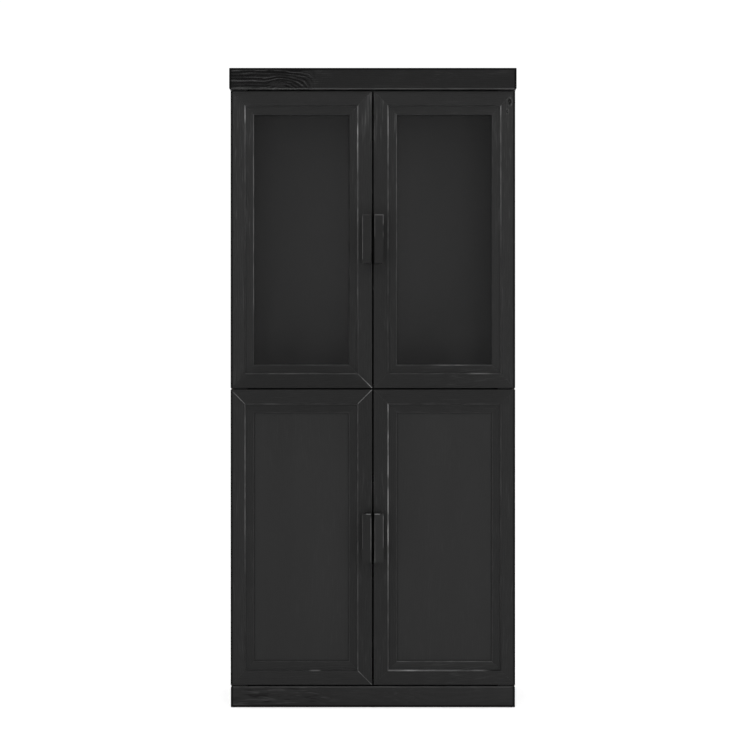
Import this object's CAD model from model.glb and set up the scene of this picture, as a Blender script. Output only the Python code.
"""Tall black pantry cabinet: glazed upper doors, panelled lower doors, flat pulls, slab and plinth.

Everything is in metres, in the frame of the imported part: +Z up, front towards -Y. Every piece of
the cabinet is a node of that frame. This script gives them softened edges and their finishes, and
adds the floor, the light and the camera.
"""

import math
from dataclasses import dataclass

import bpy
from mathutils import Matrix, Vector


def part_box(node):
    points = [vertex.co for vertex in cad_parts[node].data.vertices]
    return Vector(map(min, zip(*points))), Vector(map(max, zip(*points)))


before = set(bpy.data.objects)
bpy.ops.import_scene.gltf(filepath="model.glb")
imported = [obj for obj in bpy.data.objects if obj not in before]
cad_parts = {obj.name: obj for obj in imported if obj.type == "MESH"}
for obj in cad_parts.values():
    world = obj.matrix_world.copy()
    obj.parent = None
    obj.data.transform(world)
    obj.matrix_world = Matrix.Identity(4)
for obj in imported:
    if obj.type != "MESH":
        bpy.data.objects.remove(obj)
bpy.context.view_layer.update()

# ---------- Sizes ----------

VIEW_HEIGHT = 2.3843    # of what the camera takes in, at the doors' face
EYE_ACROSS = 0.0067     # the camera's place, off the cabinet's middle
EYE_HEIGHT = 1.0573
LENS_MM, SENSOR_MM = 85, 36
FLOOR_SIZE = 60

# Name, place, what it points at, width and height, and watts of each lamp
LAMPS = (
    ("left_strip", (-1.8, -2.0, 1.5), (0, -0.2, 1.2), (1.4, 2.4), 26),
    ("right_strip", (1.8, -2.0, 1.5), (0, -0.2, 1.2), (1.4, 2.4), 26),
    ("overhead", (0, -1.8, 3.4), (0, -0.2, 1.3), (2.4, 1.0), 30),
    ("umbrella", (0, -7.0, 2.1), (0, -0.2, 1.5), (1.5, 1.3), 2.8),
)

FLOOR_GLOW = 0.50       # light that the floor gives by itself
STUDIO_DIM = 0.05       # of the white studio on the side that the cabinet faces
BACKDROP = 1.05         # of the studio as the camera sees it

WOOD_EDGE = 0.0006      # widths of softened edges
METAL_EDGE = 0.0005

BEAD_IN = 0.0008        # from the frame's inner edge to the rubbed line along the bead
NOSE_IN = 0.0280        # and to the one along the moulding's inner edge
BEAD_HALF = 0.0023      # half the widths of those two lines
NOSE_HALF = 0.0019
SEAM_HALF = 0.0012      # half the width of the pale line where two mitred bars meet
BOARD_EDGE_HALF = 0.0028    # half the width of the line along the slab and the plinth
SLAB_EDGE_UP = 0.0004   # from the slab's foot to its line
RIM = 0.0084            # how far in the outermost edges are dark
HANDLE_SOFT = 0.107     # over which share of a handle's width the rubbing of its top ends
BOARD_ACROSS = (0.11, 0.37, 0.59, 0.83)     # where in the figure of the wood each bar of a door
BOARD_ALONG = (0.3, 0.9, 1.4, 1.9)          # lies, by hinge side, meeting side, top and bottom
RING_TURN = 950.0       # how fast growth rings follow each other, in radians a metre
ARCH_PITCH = 0.0102     # from one line of a board's bold figure to the next
FINE_PITCH = 0.0043

# ---------- Colours, as linear shares of white ----------

BLACK_STAIN = 0.0140
SLAB_STAIN = 0.0096
PLINTH_STAIN = 0.0160
PANEL_STAIN = 0.0171
INNER_STAIN = 0.0110
BARE_WOOD = 0.150
BARE_METAL = 0.110
PLATE_COAT = 0.0030
PLASTIC = 0.02
GLASS_DARK = 0.0042
GLASS_FILM = 0.0110
FLOOR_GREY = 0.76
GREEN_GLASS = (0.045, 0.065, 0.058), (0.070, 0.095, 0.085)      # the dark and the light clouds
ZINC = (0.42, 0.42, 0.41), (0.56, 0.56, 0.54)
BRONZE = (0.030, 0.022, 0.015), (0.055, 0.040, 0.026)
MOST_RUBBED = 1.9       # the most that wood is rubbed, 1 being as pale as BARE_WOOD

WOOD_GLOSS = 0.12       # how strongly each finish mirrors, 0.5 being a plain varnish
FRONT_GLOSS = 0.08
COAT_GLOSS = 0.18


# ---------- Wear ----------

@dataclass
class Wear:
    """How the finish of one door has worn.

    A set of four numbers is for the hinge side, the meeting side, the top and the bottom, or, for
    the seams, for the top hinge, top meeting, bottom hinge and bottom meeting corners. A spot is
    (across, up, reach, extra): its place from the door's middle in shares of the door's half width,
    towards the hinges, and half height, how wide it is, and how much more an edge is rubbed there.
    A stretch of a handle's edge is (how far rubbed, from, to), in shares of the handle's height.
    """

    tone: tuple             # how light the stain is on each bar of the frame
    slope: tuple            # how light it is on the moulding, against its bar
    bead: tuple             # how far the moulding's outer edge is rubbed, or darkened below 0
    nose: tuple             # the same of its inner edge
    fade: tuple             # where the rubbing of the hinge bead, the meeting bead and the upright
                            # inner edges starts and is whole, in shares of the door's half height
    bead_spots: tuple
    handle: float           # colour of the handle's coat
    handle_top: tuple       # how far its top is rubbed, and from the inner edge up to which share
                            # of its width
    handle_outer: tuple     # rubbed stretches of the handle's outer edge
    handle_inner: tuple     # and of its inner edge, which is beside the other door
    seams: tuple = (0.02, 0.02, 0.02, 0.02)     # how pale the seam in each corner is
    seam_run: float = 0.060     # how far in from the corner the seams stay so
    nose_spots: tuple = ()
    knots: tuple = ()       # across and up, as a spot's, and size of each knot
    film: float = 0.0       # how far right of a pane's middle its film is palest, as a share of
                            # half the pane's width
    panel: tuple = (1.0, 1.0)   # how light the stain is on a panel's top and on the rest of it


DOOR_WEAR = {
    "upper_left": Wear(
        tone=(1.13, 1.01, 0.84, 0.69), slope=(0.97, 0.88, 0.90, 1.15),
        bead=(0.38, 0.84, 0.08, 0.42), nose=(0.47, -0.09, 0.04, 0.19),
        fade=((-0.60, 0.80), (-0.70, 0.80), (-0.62, -0.40)),
        bead_spots=((0.820, 0.850, 0.038, 3.0), (-0.798, 0.684, 0.070, 1.1),
                    (-0.802, 0.036, 0.140, 0.7), (-0.802, -0.394, 0.045, 1.2)),
        nose_spots=((-0.264, -0.843, 0.050, 0.7), (0.660, 0.816, 0.050, -0.5)),
        seams=(0.00, 0.04, 0.02, 1.30), seam_run=0.030, film=-0.0126,
        handle=0.0101, handle_top=(0.12, 1.25),
        handle_outer=((0.60, 0.10, 0.95),), handle_inner=((0.12, 0.20, 0.90),),
    ),
    "upper_right": Wear(
        tone=(1.14, 0.91, 0.88, 0.88), slope=(1.00, 1.02, 0.93, 1.03),
        bead=(0.56, 0.66, 0.08, 0.22), nose=(0.04, 0.40, 0.04, 0.19),
        fade=((-0.50, 0.70), (-0.60, 0.90), (-0.70, 0.70)),
        bead_spots=((-0.789, 0.756, 0.110, 0.6), (0.802, 0.873, 0.060, 0.4),
                    (-0.789, 0.672, 0.045, 0.4), (0.793, 0.307, 0.110, 0.4),
                    (0.487, -0.905, 0.050, 2.6)),
        nose_spots=((0.127, -0.843, 0.100, 2.4), (-0.678, 0.816, 0.050, -0.6),
                    (-0.678, -0.394, 0.050, 0.8)),
        seams=(0.03, 0.04, 0.02, 0.02), film=-0.1887,
        knots=((0.9222, 0.9290, 1.0), (0.8889, 0.8633, 0.6)),
        handle=0.0094, handle_top=(0.55, 1.25),
        handle_outer=((1.00, 0.82, 1.00), (0.50, 0.55, 0.62)),
        handle_inner=((0.50, 0.55, 1.00),),
    ),
    "lower_left": Wear(
        tone=(0.97, 0.86, 0.78, 0.90), slope=(0.90, 0.93, 0.82, 1.14),
        bead=(0.74, 0.42, 0.20, 0.10), nose=(0.08, 0.08, 0.07, 0.10),
        fade=((-0.35, 0.05), (-1.60, -1.20), (-1.60, -1.20)),
        bead_spots=((0.807, 0.862, 0.045, -0.35), (0.522, 0.906, 0.100, 0.4),
                    (-0.193, -0.904, 0.023, 6.5)),
        seams=(0.80, 1.00, 0.02, 0.60), panel=(0.90, 0.97),
        handle=0.0084, handle_top=(1.00, 0.625),
        handle_outer=((0.30, 0.30, 0.95),), handle_inner=((0.95, 0.25, 0.90), (0.50, 0.02, 0.25)),
    ),
    "lower_right": Wear(
        tone=(0.97, 0.88, 0.80, 0.91), slope=(0.93, 0.97, 0.91, 1.20),
        bead=(0.22, 1.38, 0.20, 0.90), nose=(0.09, 0.09, 0.06, 0.33),
        fade=((-0.80, 0.10), (-0.85, -0.05), (-1.60, -1.20)),
        bead_spots=((-0.802, 0.757, 0.032, -0.60), (-0.802, 0.476, 0.060, 0.8),
                    (-0.802, 0.374, 0.030, -0.65), (-0.802, 0.248, 0.050, 1.5),
                    (-0.802, 0.018, 0.060, 0.8), (-0.513, -0.904, 0.085, 1.7),
                    (0.731, -0.904, 0.050, -1.0)),
        panel=(0.98, 1.00),
        handle=0.0116, handle_top=(1.00, 0.661),
        handle_outer=((0.90, 0.32, 0.95),), handle_inner=((0.48, 0.25, 0.90), (0.95, 0.02, 0.22)),
    ),
}


# ---------- Fields: values that vary over a surface ----------

class Field:
    """The output of a shader node. Sums and products of fields are Math nodes in their turn."""

    def __init__(self, tree, socket):
        self.tree, self.socket = tree, socket

    def __add__(self, other):
        return calc("ADD", self, other)

    def __sub__(self, other):
        return calc("SUBTRACT", self, other)

    def __rsub__(self, other):
        return calc("SUBTRACT", other, self)

    def __mul__(self, other):
        return calc("MULTIPLY", self, other)

    def __truediv__(self, other):
        return calc("DIVIDE", self, other)

    def __lt__(self, other):
        return calc("LESS_THAN", self, other)

    def __gt__(self, other):
        return calc("GREATER_THAN", self, other)

    def __abs__(self):
        return calc("ABSOLUTE", self)

    __radd__ = __add__
    __rmul__ = __mul__


def add(tree, kind, inputs=None, **settings):
    """Adds a shader node. Inputs are fields or plain values."""
    node = tree.nodes.new("ShaderNode" + kind)
    for name, value in settings.items():
        setattr(node, name, value)
    for name, value in (inputs or {}).items():
        if isinstance(value, Field):
            tree.links.new(value.socket, node.inputs[name])
        else:
            node.inputs[name].default_value = value
    return node


def field(tree, kind, output, inputs=None, **settings):
    """One of the outputs of a new shader node."""
    return Field(tree, add(tree, kind, inputs, **settings).outputs[output])


def calc(operation, *values):
    """The result of a Math node of which at least one value is a field."""
    tree = next(value.tree for value in values if isinstance(value, Field))
    return field(tree, "Math", 0, dict(enumerate(values)), operation=operation)


def least(a, b):
    return calc("MINIMUM", a, b)


def most(a, b):
    return calc("MAXIMUM", a, b)


def blend(share, low, high, clamp=True):
    """low where share is 0 and high where it is 1."""
    inputs = {"Factor": share, "A": low, "B": high}
    return field(share.tree, "Mix", "Result", inputs, data_type="FLOAT", clamp_factor=clamp)


def pick(test, low, high):
    """low where test is below 0 and high elsewhere."""
    return blend(test > 0.0, low, high)


def ramp(value, low, high, to_low=0.0, to_high=1.0):
    """Takes value smoothly from to_low at low to to_high at high."""
    inputs = {
        "Value": value, "From Min": low, "From Max": high, "To Min": to_low, "To Max": to_high,
    }
    return field(value.tree, "MapRange", 0, inputs, interpolation_type="SMOOTHSTEP")


def noise(place, scale, detail=2.0, roughness=0.5):
    """Noise over a place of three fields. scale is one for all three, or one for each."""
    scales = scale if isinstance(scale, tuple) else (scale, scale, scale)
    scaled = {axis: part * times for axis, part, times in zip("XYZ", place, scales)}
    tree = place[0].tree
    vector = field(tree, "CombineXYZ", 0, scaled)
    inputs = {"Vector": vector, "Scale": 1.0, "Detail": detail, "Roughness": roughness}
    return field(tree, "TexNoise", "Fac", inputs)


def line(distance, half):
    """1 on a line where distance is 0, and 0 from half its width on."""
    return ramp(abs(distance), 0.45 * half, half, 1.0, 0.0)


def span(across, up, flat=1.0):
    """The length of a step; flat below 1 makes little of its height, and above 1 makes much."""
    up = up * flat
    return calc("SQRT", across * across + up * up)


# ---------- Materials ----------

def new_material(name, **even):
    """A material, its Principled shader with the even values set by name, and where it is shaded.

    The last is three fields, the coordinates of the surface in the cabinet's own frame.
    """
    material = bpy.data.materials.new(name)
    material.use_nodes = True
    tree = material.node_tree
    bsdf = tree.nodes["Principled BSDF"]
    for key, value in even.items():
        bsdf.inputs[key.replace("_", " ")].default_value = value
    where = field(tree, "TexCoord", "Object")
    parts = add(tree, "SeparateXYZ", {"Vector": where}).outputs
    return material, bsdf, tuple(Field(tree, part) for part in parts)


def plug(bsdf, name, value):
    """Lets a field drive one of the shader's values."""
    value.tree.links.new(value.socket, bsdf.inputs[name])


def plug_grey(bsdf, value):
    """Makes the shader's colour neutral and as bright as value."""
    grey = field(value.tree, "CombineColor", 0, {"Red": value, "Green": value, "Blue": value})
    plug(bsdf, "Base Color", grey)


def plug_tint(bsdf, share, low, high):
    """Makes the shader's colour low where share is 0 and high where it is 1."""
    inputs = {"Factor": share, "A": (*low, 1), "B": (*high, 1)}
    plug(bsdf, "Base Color", field(share.tree, "Mix", "Result", inputs, data_type="RGBA"))


def plug_bump(bsdf, height, distance, strength=1.0):
    """Gives the surface a relief as deep as distance."""
    inputs = {"Height": height, "Distance": distance, "Strength": strength}
    plug(bsdf, "Normal", field(height.tree, "Bump", 0, inputs))


# ---------- Wood ----------

def wood_figure(place):
    """The figure of a board: its growth rings, its pores and its open streaks, each from 0 to 1."""
    across, depth, along = place
    sway = noise(place, (2.5, 2.5, 1.6))
    u = across + 0.09 * (sway - 0.5)
    v = depth + 0.05 + 0.03 * along
    rings = 0.5 + 0.5 * calc("SINE", span(u, v) * RING_TURN)
    pores = noise((u, v, along), (700.0, 700.0, 16.0), detail=4.0, roughness=0.6)
    thread = noise((u, v, along), (330.0, 330.0, 11.0))
    patch = ramp(noise(place, (9.0, 9.0, 4.0)), 0.45, 0.60)
    return rings, pores, ramp(thread, 0.55, 0.72) * patch


def stain(bsdf, place, colour, figure=1.0, shade=1.0, rub=None, rim=1.0):
    """Colour, gloss and relief of stained wood whose place is given as across, depth and along.

    figure is how strongly its figure shows, shade multiplies its tone, rub is how far it is rubbed
    bare, above 1 where bare wood is polished and below 0 where dirt has darkened it, and rim
    multiplies all that.
    """
    rings, pores, streaks = wood_figure(place)
    cloud = noise(place, (9.0, 9.0, 2.2), detail=3.0)
    grain = 0.16 * (rings - 0.5) + 0.9 * (pores - 0.5) + 0.9 * streaks
    value = (1.0 + figure * grain + 0.24 * (cloud - 0.5)) * shade * colour
    if rub is not None:
        value = most(blend(rub, value, BARE_WOOD, clamp=False), 0.001)
    plug_grey(bsdf, value * rim)
    plug(bsdf, "Roughness", 0.50 + 0.10 * cloud - 0.18 * pores)
    plug_bump(bsdf, pores + 0.35 * rings, 0.00035 * figure, 0.6)


def wood_material(name, gloss=WOOD_GLOSS):
    """As new_material does, for wood."""
    return new_material(name, Specular_IOR_Level=gloss)


def board_wood(name, along, colour=BLACK_STAIN, figure=1.0):
    """Wood whose grain runs along one axis of the cabinet: 0, 1 or 2 for X, Y or Z."""
    material, bsdf, place = wood_material(name)
    across, depth = [place[axis] for axis in range(3) if axis != along]
    stain(bsdf, (across, depth, place[along]), colour, figure)
    return material


def shelf_wood():
    """Wood of the fixed shelf, whose front edge is blackened because it shows between the doors."""
    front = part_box("fixed_shelf")[0].y
    material, bsdf, (x, y, z) = wood_material("shelf_wood")
    shade = ramp(y, front + 0.001, front + 0.004, 0.12, 1.0)
    stain(bsdf, (y, z, x), INNER_STAIN, 0.6, shade)
    return material


def panel_wood(door):
    """Wood of a lower door's panel, which has taken less of the stain towards its top."""
    top_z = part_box(door + "_panel")[1].z
    top, rest = DOOR_WEAR[door].panel
    material, bsdf, place = wood_material(door + "_panel_wood")
    shade = ramp(place[2], top_z - 0.20, top_z, rest, top)
    stain(bsdf, place, PANEL_STAIN, 0.25, shade)
    return material


def rim_tone(distance):
    """Falls to nearly 0 where distance, the way to an outermost edge, does."""
    return ramp(distance, 0.68 * RIM, RIM, 0.08, 1.0)


# ---------- Wood of the slab's and the plinth's fronts ----------

def dashes(place):
    """Short open pores that lie along a board, -1 where one is dark and 1 where its lip is pale."""
    grain = noise(place, (13.0, 1.0, 150.0), roughness=0.6)
    return ramp(grain, 0.30, 0.44, -1.0, 0.0) + ramp(grain, 0.56, 0.70)


def arches(place, foot, height, nose_x):
    """A bold figure, -1 to 1, of lines along a board that bend down to its foot near nose_x.

    Below its hump lies a plain, paler heart.
    """
    x, _, z = place
    below = (foot + height - z) / height
    warp = noise(place, (11.0, 1.0, 30.0), detail=3.0)
    hump = ramp(abs(x - (nose_x - 0.085)), 0.0, 0.055, -0.012, 0.0) * below
    bend = most(x - (nose_x - 0.075), 0.0) / 0.075
    level = z + 0.018 * (warp - 0.5) + hump + 0.034 * bend * bend * below
    wave = calc("SINE", level * (math.tau / ARCH_PITCH))
    wave = wave + 0.22 * calc("SINE", level * (math.tau / FINE_PITCH))
    gaps = noise(place, (13.0, 1.0, 70.0))
    dark = ramp(wave, -1.05, -0.35, -1.15, 0.0) * ramp(gaps, 0.34, 0.52, 0.30, 1.0)
    pale = ramp(wave, 0.74, 1.12, 0.0, 1.5) * ramp(gaps, 0.62, 0.40, 0.15, 1.0)
    from_heart = span(x - (nose_x - 0.100), z - (foot + 0.013), flat=3.2) + 0.016 * (warp - 0.5)
    return blend(ramp(from_heart, 0.016, 0.038, 1.0, 0.0), dark + pale, 0.18)


def front_wood(node, colour, edge, nose, bold, broken, figure, right=1.0):
    """Wood of a front board, figured at its left as far as nose, a share of its half length.

    edge is the height of its rubbed long edge, bold is how strongly its nested arches show,
    broken is how strongly its short open pores do, figure is how strongly its plain grain does,
    and right is how light its right end is.
    """
    low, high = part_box(node)
    nose_x = nose * high.x
    material, bsdf, place = wood_material(node + "_wood", FRONT_GLOSS)
    x, y, z = place
    figured = ramp(x, nose_x - 0.04, nose_x + 0.03, 1.0, 0.06)
    bands = bold * arches(place, low.z, high.z - low.z, nose_x) + broken * dashes(place)
    bands = bands * figured
    shade = 1.0 - 0.38 * bold * figured + 1.7 * most(bands, 0.0) + least(bands, 0.0)
    shade = most(shade, 0.04) * ramp(x, 0.0, high.x, 1.0, right)
    far_z = high.z if edge < (low.z + high.z) / 2 else low.z
    rim = rim_tone(least(abs(z - far_z), high.x - abs(x)))
    worn = ramp(noise(place, 14.0, detail=3.0), 0.30, 0.70, 0.55, 1.0)
    rub = 0.31 * worn * line(z - edge, BOARD_EDGE_HALF)
    stain(bsdf, (y, z, x), colour, figure, shade, rub, rim)
    return material


# ---------- Wood of the doors ----------

class DoorPlace:
    """Where the shaded point lies on a door: fields, and sizes of the door."""

    def __init__(self, door, place):
        hinge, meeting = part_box(door + "_hinge_stile"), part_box(door + "_meeting_stile")
        low = Vector(map(min, hinge[0], meeting[0]))
        high = Vector(map(max, hinge[1], meeting[1]))
        middle = (low + high) / 2
        self.half = (high - low) / 2
        self.frame_w = high.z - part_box(door + "_moulding")[1].z
        self.place = place
        self.out = (place[0] - middle.x) * math.copysign(1, middle.x)   # towards the hinges
        self.up = place[2] - middle.z
        self.height = self.up / self.half.z                 # -1 at the foot, 1 at the head
        self.from_side = self.half.x - abs(self.out)        # how far from an upright edge
        self.from_end = self.half.z - abs(self.up)          # and from a level one
        self.upright = self.from_side < self.from_end       # 1 on upright bars, 0 on level ones
        self.inward = least(self.from_side, self.from_end)

    def by_bar(self, values, share=None):
        """Each bar's own value; share is 0 on the level bars and 1 on the upright ones."""
        hinge, meeting, top, bottom = values
        share = self.upright if share is None else share
        return blend(share, pick(self.up, bottom, top), pick(self.out, meeting, hinge))

    def by_corner(self, values):
        """Each corner's own value."""
        top_hinge, top_meeting, bottom_hinge, bottom_meeting = values
        bottom = pick(self.out, bottom_meeting, bottom_hinge)
        return pick(self.up, bottom, pick(self.out, top_meeting, top_hinge))

    def step_from(self, across, up):
        """The way here from a place that is given in shares of the door's halves."""
        return self.out - across * self.half.x, self.up - up * self.half.z

    def gain(self, spots):
        """A factor that is 1 away from all the spots, and 1 and its extra on each."""
        product = 1.0
        for across, up, reach, extra in spots:
            away = span(*self.step_from(across, up))
            product = product * ramp(away, 0.25 * reach, reach, 1.0 + extra, 1.0)
        return product


def door_rub(at, wear):
    """How far a door's bead, its moulding's inner edge and its seams are rubbed through."""
    fades = [ramp(at.height, start, whole, 0.2, 1.0) for start, whole in wear.fade]
    bead_fade = blend(at.upright, 1.0, pick(at.out, fades[1], fades[0]))
    nose_fade = blend(at.upright, 1.0, fades[2])
    bead = at.gain(wear.bead_spots) * line(at.inward - (at.frame_w + BEAD_IN), BEAD_HALF)
    bead = bead * at.by_bar(wear.bead) * bead_fade
    nose = at.gain(wear.nose_spots) * line(at.inward - (at.frame_w + NOSE_IN), NOSE_HALF)
    nose = nose * at.by_bar(wear.nose) * nose_fade
    seam = line(at.from_side - at.from_end, SEAM_HALF * math.sqrt(2)) * (at.inward < at.frame_w)
    seam = seam * at.by_corner(wear.seams)
    seam = seam * ramp(at.inward, wear.seam_run - 0.006, wear.seam_run + 0.006, 1.0, 0.2)
    uneven = ramp(noise(at.place, 23.0, detail=4.0), 0.36, 0.64, 0.45, 1.0)
    return least((bead + (nose + seam)) * uneven, MOST_RUBBED)


def knot_tone(at, across, up, size):
    """A small knot as a factor on the tone: a dark eye with a pale core, in an uneven pale ring."""
    wander = noise(at.place, (160.0, 1.0, 110.0))
    away = span(*at.step_from(across, up), flat=0.6) / size + 0.008 * (wander - 0.5)
    core = ramp(away, 0.0004, 0.0016, 1.6, 0.0)
    eye = ramp(abs(away - 0.0030), 0.0006, 0.0022, -0.97, 0.0)
    ring = ramp(abs(away - 0.0078), 0.0, 0.0030, 1.5, 0.0) * ramp(wander, 0.40, 0.55, 0.1, 1.0)
    return 1.0 + eye + core + ring


def door_shade(at, wear, upper):
    """How light a door's stain is, by bar and moulding and round its knots.

    An upper door is paler upwards, with pale threads on its uprights towards the meeting edge.
    """
    softly = ramp(at.from_side - at.from_end, -0.030, 0.030, 1.0, 0.0)
    sloped = ramp(at.inward, at.frame_w + 0.003, at.frame_w + 0.006)
    shade = at.by_bar(wear.tone, softly) * blend(sloped, 1.0, at.by_bar(wear.slope))
    if upper:
        shade = shade * ramp(at.height, -0.80, 0.60, 0.93, 1.0)
        thread = ramp(noise(at.place, (420.0, 420.0, 9.0), detail=1.0), 0.60, 0.72)
        thread = thread * ramp(at.height, 0.45, 0.85) * at.upright
        shade = shade + thread * ramp(at.out, -at.half.x, at.half.x, 2.2, 0.2)
    for knot in wear.knots:
        shade = shade * knot_tone(at, *knot)
    return shade


def door_wood(door):
    """Wood of one mitred door, whose grain follows its bars, rubbed along its beads and seams."""
    material, bsdf, (x, y, z) = wood_material(door + "_wood")
    at = DoorPlace(door, (x, y, z))
    wear = DOOR_WEAR[door]
    across = blend(at.upright, at.up, at.out) + at.by_bar(BOARD_ACROSS)
    along = blend(at.upright, x, z) + at.by_bar(BOARD_ALONG)
    shade = door_shade(at, wear, door.startswith("upper"))
    rim = rim_tone(at.half.x - at.out)
    stain(bsdf, (across, y, along), BLACK_STAIN, 1.0, shade, door_rub(at, wear), rim)
    return material


# ---------- Glass ----------

def smoked_glass(door):
    """Dark glass with a soft film that is palest near the middle of the pane."""
    low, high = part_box(door + "_glass")
    middle, half = (low + high) / 2, (high - low) / 2
    material, bsdf, place = new_material(door + "_smoked_glass", IOR=1.5, Alpha=0.9)
    x, _, z = place
    aside = (x - (middle.x + DOOR_WEAR[door].film * half.x)) / half.x
    above = (z - middle.z) / half.z
    film = ramp(abs(aside), 0.35, 1.3, 1.0, 0.45) * ramp(above, 0.80, 1.15, 1.0, 0.45)
    film = film * ramp(above, -1.00, -0.68, 0.15, 1.0)
    drift = noise(place, (3.0, 3.0, 2.0), detail=1.0)
    plug_grey(bsdf, blend(film * (0.85 + 0.3 * drift), GLASS_DARK, GLASS_FILM))
    smear = noise(place, (14.0, 14.0, 5.0), detail=3.0)
    plug(bsdf, "Roughness", 0.13 + 0.08 * smear)
    return material


def clear_glass():
    """Clear shelf glass, a little green where it is seen edge-on."""
    material, bsdf, place = new_material("clear_glass", IOR=1.5, Alpha=0.22)
    dust = noise(place, 40.0, detail=4.0)
    plug_tint(bsdf, dust, *GREEN_GLASS)
    plug(bsdf, "Roughness", 0.02 + 0.10 * dust)
    return material


# ---------- Metal and plastic ----------

def coat(bsdf, place, colour, rub=None):
    """Black powder coat with a fine orange-peel skin; rub is how far it is rubbed through."""
    skin = noise(place, 1400.0)
    shade = (0.85 + 0.3 * noise(place, 25.0)) * colour
    if rub is not None:
        shade = blend(rub, shade, BARE_METAL)
    plug_grey(bsdf, shade)
    plug(bsdf, "Roughness", 0.36 + 0.12 * skin)
    plug_bump(bsdf, skin, 0.00004)


def plate_coat():
    """The coat of the pivot plates, which isn't worn."""
    material, bsdf, place = new_material("plate_coat", Specular_IOR_Level=COAT_GLOSS)
    coat(bsdf, place, PLATE_COAT)
    return material


def handle_coat(door):
    """The coat of a handle, rubbed through along its top and along stretches of its front edges."""
    low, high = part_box(door + "_handle")
    outer, inner = (high.x, low.x) if high.x > 0 else (low.x, high.x)
    wear = DOOR_WEAR[door]
    material, bsdf, place = new_material(door + "_handle_coat", Specular_IOR_Level=COAT_GLOSS)
    x, y, z = place
    top_rub, reach = wear.handle_top
    outward = abs(x - inner) / (high.x - low.x)
    rub = ramp(high.z - z, 0.0014, 0.0036, top_rub, 0.0)
    rub = rub * ramp(outward, reach - HANDLE_SOFT, reach, 1.0, 0.0)
    height = (z - low.z) / (high.z - low.z)
    uneven = ramp(noise(place, 38.0), 0.40, 0.56, 0.70, 1.0)
    for edge, stretches in ((outer, wear.handle_outer), (inner, wear.handle_inner)):
        for edge_rub, start, end in stretches:
            worn = ramp(abs(x - edge), 0.0006, 0.0022, edge_rub, 0.0)
            worn = worn * ramp(height, start - 0.06, start + 0.02)
            worn = worn * ramp(height, end - 0.02, end + 0.06, 1.0, 0.0)
            rub = most(rub, worn * uneven)
    front = ramp(y - low.y, 0.0010, 0.0030, 1.0, 0.0)
    coat(bsdf, place, wear.handle, rub * front)
    return material


def plain_metal(name, tints, roughness):
    """Bare or plated metal with fine scratches and cloudy changes of colour."""
    material, bsdf, place = new_material(name, Metallic=1.0)
    plug_tint(bsdf, noise(place, 90.0, detail=3.0), *tints)
    scratch = noise(place, (2500.0, 2500.0, 120.0))
    plug(bsdf, "Roughness", roughness + 0.2 * scratch)
    plug_bump(bsdf, scratch, 0.00002)
    return material


def moulded_plastic(name, colour):
    """Matt plastic with the fine grain of its mould."""
    material, bsdf, place = new_material(name, IOR=1.46)
    spark = noise(place, 900.0)
    plug_grey(bsdf, (0.85 + 0.3 * noise(place, 60.0)) * colour)
    plug(bsdf, "Roughness", 0.5 + 0.15 * spark)
    plug_bump(bsdf, spark, 0.00006)
    return material


# ---------- Dressing the frame ----------

def soften(node, width):
    """Rounds a node's sharp edges for the eye."""
    weld = node.modifiers.new("weld", "WELD")
    weld.merge_threshold = 1e-6
    bevel = node.modifiers.new("soft_edges", "BEVEL")
    bevel.width = width
    bevel.segments = 2
    bevel.limit_method = "ANGLE"
    bevel.angle_limit = math.radians(35)
    bevel.use_clamp_overlap = True
    normals = node.modifiers.new("even_normals", "WEIGHTED_NORMAL")
    normals.keep_sharp = False


def finish_nodes(names, material, edge=None):
    """Gives nodes a material and, where edge is given, softened edges of that width."""
    for name in names:
        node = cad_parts[name]
        for slot in node.material_slots:
            slot.material = material
        if edge:
            soften(node, edge)


def dress_case():
    slab = front_wood("cornice_front", SLAB_STAIN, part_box("cornice_front")[0].z + SLAB_EDGE_UP,
                      nose=-0.4496, bold=1.3, broken=0.5, figure=1.0)
    plinth = front_wood("plinth_front", PLINTH_STAIN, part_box("plinth_front")[1].z,
                        nose=-0.2879, bold=0.08, broken=0.62, figure=0.6, right=1.12)
    inner = board_wood("inner_wood", 0, INNER_STAIN, figure=0.6)
    plastic = moulded_plastic("catch_plastic", PLASTIC)
    finish_nodes(["cornice_front"], slab, WOOD_EDGE)
    finish_nodes(["plinth_front"], plinth, WOOD_EDGE)
    finish_nodes(["top_board"], board_wood("wood_along_x", 0), WOOD_EDGE)
    finish_nodes(["cornice_left", "cornice_right", "plinth_left", "plinth_right"],
                 board_wood("wood_along_y", 1), WOOD_EDGE)
    finish_nodes(["side_panel_left", "side_panel_right"], board_wood("wood_along_z", 2), WOOD_EDGE)
    finish_nodes(["case_top", "case_bottom", "plinth_back", "wood_shelves"], inner, WOOD_EDGE)
    finish_nodes(["fixed_shelf"], shelf_wood(), WOOD_EDGE)
    finish_nodes(["wall_rail"], inner)
    finish_nodes(["back_panel"], board_wood("back_board", 2, INNER_STAIN, figure=0.4))
    finish_nodes(["glass_shelves"], clear_glass(), METAL_EDGE)
    finish_nodes(["magnet_catches"], plastic, METAL_EDGE)
    finish_nodes(["floor_glides"], plastic)


def dress_doors():
    glass_bead = board_wood("bead_wood", 2, INNER_STAIN, figure=0.6)
    for door in DOOR_WEAR:
        bars = [f"{door}_{part}" for part in ("hinge_stile", "meeting_stile", "rails", "moulding")]
        finish_nodes(bars, door_wood(door), WOOD_EDGE)
        finish_nodes([door + "_handle"], handle_coat(door), METAL_EDGE)
        if door.startswith("upper"):
            finish_nodes([door + "_glass"], smoked_glass(door))
            finish_nodes([door + "_glass_beads"], glass_bead)
        else:
            finish_nodes([door + "_panel"], panel_wood(door))


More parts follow.
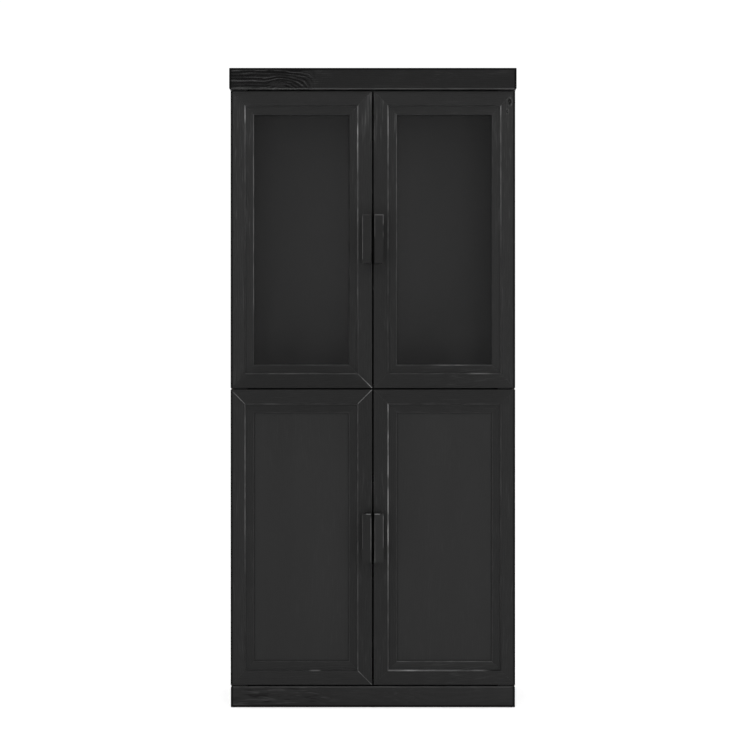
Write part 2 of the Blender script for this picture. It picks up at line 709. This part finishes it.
def dress_hardware():
    zinc = plain_metal("zinc_plate", ZINC, roughness=0.28)
    bronze = plain_metal("dark_bronze", BRONZE, roughness=0.35)
    finish_nodes(["shelf_pins", "pivot_pins"], zinc)
    finish_nodes(["pivot_plates"], plate_coat())
    for door in DOOR_WEAR:
        finish_nodes([door + "_handle_screws", door + "_strike"], zinc)
        finish_nodes([door + "_pivot_bushes"], bronze)


# ---------- Floor, light and camera ----------

def add_floor():
    half = FLOOR_SIZE / 2
    mesh = bpy.data.meshes.new("floor")
    corners = [(-half, -half, 0), (half, -half, 0), (half, half, 0), (-half, half, 0)]
    mesh.from_pydata(corners, [], [(0, 1, 2, 3)])
    floor = bpy.data.objects.new("floor", mesh)
    bpy.context.scene.collection.objects.link(floor)
    material, bsdf, place = new_material("pale_floor", Roughness=0.9)
    plug_grey(bsdf, FLOOR_GREY + 0.02 * noise(place, 0.8))
    bsdf.inputs["Emission Color"].default_value = (1, 1, 1, 1)
    bsdf.inputs["Emission Strength"].default_value = FLOOR_GLOW
    mesh.materials.append(material)


def add_world():
    """A white studio that is dim on the side that the cabinet faces."""
    world = bpy.data.worlds.new("studio")
    bpy.context.scene.world = world
    world.use_nodes = True
    tree = world.node_tree
    direction = field(tree, "TexCoord", "Generated")
    forward = field(tree, "SeparateXYZ", "Y", {"Vector": direction})
    light = ramp(forward, -0.80, 0.10, STUDIO_DIM, 1.0)
    strength = blend(field(tree, "LightPath", "Is Camera Ray"), light, BACKDROP)
    background = tree.nodes["Background"]
    background.inputs["Color"].default_value = (1, 1, 1, 1)
    plug(background, "Strength", strength)


def add_lamp(name, place, target, size, power):
    data = bpy.data.lights.new(name, "AREA")
    data.shape = "RECTANGLE"
    data.size, data.size_y = size
    data.energy = power
    lamp = bpy.data.objects.new(name, data)
    lamp.location = place
    lamp.rotation_euler = (Vector(target) - Vector(place)).to_track_quat("-Z", "Y").to_euler()
    bpy.context.scene.collection.objects.link(lamp)


def add_camera():
    """A camera that looks straight at the front and takes in VIEW_HEIGHT at the doors' face."""
    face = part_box("upper_left_rails")[0].y
    data = bpy.data.cameras.new("camera")
    data.lens, data.sensor_width = LENS_MM, SENSOR_MM
    camera = bpy.data.objects.new("camera", data)
    distance = VIEW_HEIGHT * LENS_MM / SENSOR_MM
    camera.location = (EYE_ACROSS, face - distance, EYE_HEIGHT)
    camera.rotation_euler = (math.radians(90), 0, 0)
    bpy.context.scene.collection.objects.link(camera)
    bpy.context.scene.camera = camera


def set_picture():
    """Plain colours, with no film look."""
    view = bpy.context.scene.view_settings
    view.view_transform = "Standard"
    view.look = "None"
    view.exposure = 0.0
    view.gamma = 1.0


dress_case()
dress_doors()
dress_hardware()
add_floor()
add_world()
for lamp in LAMPS:
    add_lamp(*lamp)
add_camera()
set_picture()
